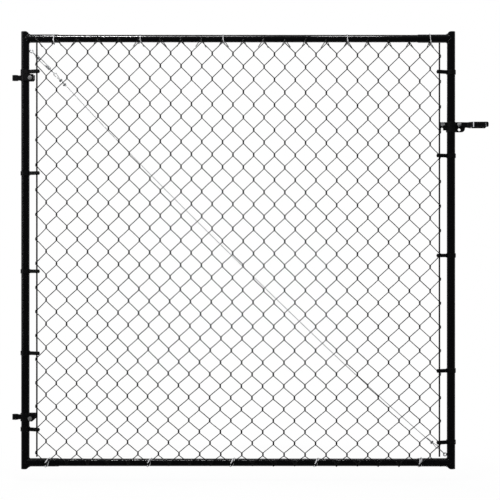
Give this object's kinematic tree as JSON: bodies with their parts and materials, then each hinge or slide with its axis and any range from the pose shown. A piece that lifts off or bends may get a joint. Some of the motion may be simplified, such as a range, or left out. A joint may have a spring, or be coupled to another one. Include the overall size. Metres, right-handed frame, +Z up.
{
  "type": "chain link gate",
  "caption": "Chain link walk gate leaf with telescoping tube rails, woven fabric on tension rods, frame hinges, a lift-up fork latch and a diagonal truss cable.",
  "frame": {"origin": "centre of the underside of the lower hinge eye, on the hinge line, where the eye rests on the post's hinge pin collar", "axes": "+X across the leaf from the hinge side to the latch side, +Y from the fabric side to the back, +Z up along the hinge line"},
  "size_m": [1.9876, 0.0732, 1.8296],
  "materials": {
    "coated_tube": "black powder coat on steel tube, semi gloss",
    "end_cap": "black moulded plastic",
    "coated_wire": "black vinyl coat on steel wire",
    "coated_rod": "black powder coat on steel rod",
    "coated_plate": "black powder coat on pressed steel",
    "coated_bolt": "black coated carriage bolts and nuts",
    "worn_bolt": "dull zinc plated carriage bolts",
    "tie_wire": "bare aluminium tie wire",
    "galvanised": "galvanised steel hardware",
    "wire_rope": "galvanised wire rope"
  },
  "bodies": {
    "leaf": {"left_upright": "coated_tube", "right_upright": "coated_tube", "top_left_stub": "coated_tube", "top_right_stub": "coated_tube", "bottom_left_stub": "coated_tube", "bottom_right_stub": "coated_tube", "top_left_cap": "end_cap", "top_right_cap": "end_cap", "bottom_left_cap": "end_cap", "bottom_right_cap": "end_cap", "top_rail": "coated_tube", "bottom_rail": "coated_tube", "rail_screws": "coated_bolt", "fabric_a": "coated_wire", "fabric_b": "coated_wire", "fabric_c": "coated_wire", "fabric_d": "coated_wire", "left_tension_rod": "coated_rod", "right_tension_rod": "coated_rod", "left_tension_bands": "coated_plate", "right_tension_bands": "coated_plate", "left_band_bolts": "coated_bolt", "right_band_bolts": "coated_bolt", "top_ties": "tie_wire", "bottom_ties": "tie_wire", "upper_hinge": "coated_plate", "lower_hinge": "coated_plate", "upper_hinge_bolt": "worn_bolt", "lower_hinge_bolt": "worn_bolt", "latch_clamp_front": "coated_plate", "latch_clamp_back": "coated_plate", "latch_clamp_bolt": "coated_bolt", "latch_pivot_bolt": "coated_bolt", "upper_corner_eye": "galvanised", "lower_corner_eye": "galvanised", "turnbuckle_body": "galvanised", "turnbuckle_upper_eye": "galvanised", "turnbuckle_lower_eye": "galvanised", "truss_cable": "wire_rope", "cable_clips": "galvanised", "cable_link": "galvanised"},
    "fork": {"latch_fork": "coated_plate"}
  },
  "joints": [
    {"name": "fork_lift", "type": "hinge", "parent": "leaf", "child": "fork", "pos_m": [1.8571, 0, 1.234], "axis": [0, -1, 0], "range_deg": [0, 90]}
  ]
}
